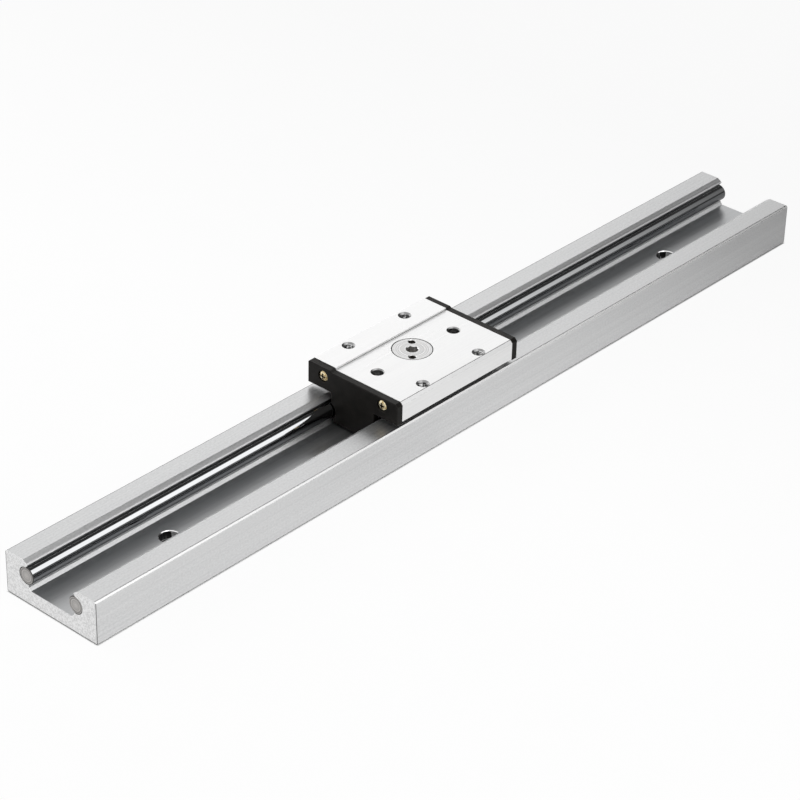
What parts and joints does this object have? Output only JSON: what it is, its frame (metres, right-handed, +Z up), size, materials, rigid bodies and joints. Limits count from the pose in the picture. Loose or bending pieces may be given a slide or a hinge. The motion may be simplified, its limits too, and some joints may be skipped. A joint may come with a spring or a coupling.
{
  "type": "linear guide rail",
  "caption": "Aluminium channel rail with inset hardened shafts and a flat-topped roller carriage that slides along it, preloaded by an eccentric adjuster.",
  "frame": {"origin": "middle of the rail's underside, at mid length and mid width", "axes": "+X along the rail, +Y across it towards the carriage's raised strip, +Z up out of the channel"},
  "size_m": [0.45, 0.052, 0.0327],
  "materials": {
    "rail_aluminium": "satin anodised extrusion, sawn ends",
    "block_aluminium": "bright milled and clear anodised",
    "hardened_shaft": "ground and polished hard chrome",
    "turned_steel": "fine turned",
    "bearing_steel": "ground",
    "shield_steel": "pressed sheet, satin",
    "cage_nylon": "moulded, matte",
    "black_plastic": "fine moulded texture",
    "screw_brass": "yellow zinc plated look, slightly worn",
    "felt": "dense oiled felt"
  },
  "bodies": {
    "rail": {"rail_body": "rail_aluminium", "left_shaft": "hardened_shaft", "right_shaft": "hardened_shaft"},
    "carriage": {"carriage_block": "block_aluminium", "front_end_cap": "black_plastic", "rear_end_cap": "black_plastic", "front_cap_screws": "screw_brass", "rear_cap_screws": "screw_brass", "front_felt_wipers": "felt", "rear_felt_wipers": "felt", "front_roller_stud": "turned_steel", "rear_roller_stud": "turned_steel", "front_spacer_washer": "turned_steel", "rear_spacer_washer": "turned_steel"},
    "adjuster": {"eccentric_adjuster": "turned_steel", "middle_roller_stud": "turned_steel", "middle_clamp_washer": "turned_steel"},
    "front_roller": {"front_roller_ring": "bearing_steel", "front_roller_upper_shield": "shield_steel", "front_roller_lower_shield": "shield_steel"},
    "front_ball_train": {"front_roller_balls": "bearing_steel", "front_roller_cage": "cage_nylon"},
    "middle_roller": {"middle_roller_ring": "bearing_steel", "middle_roller_upper_shield": "shield_steel", "middle_roller_lower_shield": "shield_steel"},
    "middle_ball_train": {"middle_roller_balls": "bearing_steel", "middle_roller_cage": "cage_nylon"},
    "rear_roller": {"rear_roller_ring": "bearing_steel", "rear_roller_upper_shield": "shield_steel", "rear_roller_lower_shield": "shield_steel"},
    "rear_ball_train": {"rear_roller_balls": "bearing_steel", "rear_roller_cage": "cage_nylon"}
  },
  "joints": [
    {"name": "carriage_slide", "type": "slide", "parent": "rail", "child": "carriage", "axis": [1, 0, 0], "range_m": [-0.171, 0.201]},
    {"name": "adjuster_turn", "type": "hinge", "parent": "carriage", "child": "adjuster", "pos_m": [-0.015, 0.0008, 0.0318], "axis": [0, 0, 1], "continuous": true},
    {"name": "front_roller_spin", "type": "hinge", "parent": "carriage", "child": "front_roller", "pos_m": [-0.0394, -0.0014, 0.013], "axis": [0, 0, 1], "continuous": true},
    {"name": "front_ball_train_spin", "type": "hinge", "parent": "carriage", "child": "front_ball_train", "pos_m": [-0.0394, -0.0014, 0.013], "axis": [0, 0, 1], "continuous": true},
    {"name": "middle_roller_spin", "type": "hinge", "parent": "adjuster", "child": "middle_roller", "pos_m": [-0.015, 0.0014, 0.013], "axis": [0, 0, 1], "continuous": true},
    {"name": "middle_ball_train_spin", "type": "hinge", "parent": "adjuster", "child": "middle_ball_train", "pos_m": [-0.015, 0.0014, 0.013], "axis": [0, 0, 1], "continuous": true},
    {"name": "rear_roller_spin", "type": "hinge", "parent": "carriage", "child": "rear_roller", "pos_m": [0.0094, -0.0014, 0.013], "axis": [0, 0, 1], "continuous": true},
    {"name": "rear_ball_train_spin", "type": "hinge", "parent": "carriage", "child": "rear_ball_train", "pos_m": [0.0094, -0.0014, 0.013], "axis": [0, 0, 1], "continuous": true}
  ],
  "couplings": [
    {"joint": "front_roller_spin", "follows": "carriage_slide", "rad_per_m": -114.29},
    {"joint": "front_ball_train_spin", "follows": "carriage_slide", "rad_per_m": -71.921},
    {"joint": "middle_roller_spin", "follows": "carriage_slide", "rad_per_m": 114.29},
    {"joint": "middle_ball_train_spin", "follows": "carriage_slide", "rad_per_m": 71.921},
    {"joint": "rear_roller_spin", "follows": "carriage_slide", "rad_per_m": -114.29},
    {"joint": "rear_ball_train_spin", "follows": "carriage_slide", "rad_per_m": -71.921}
  ]
}
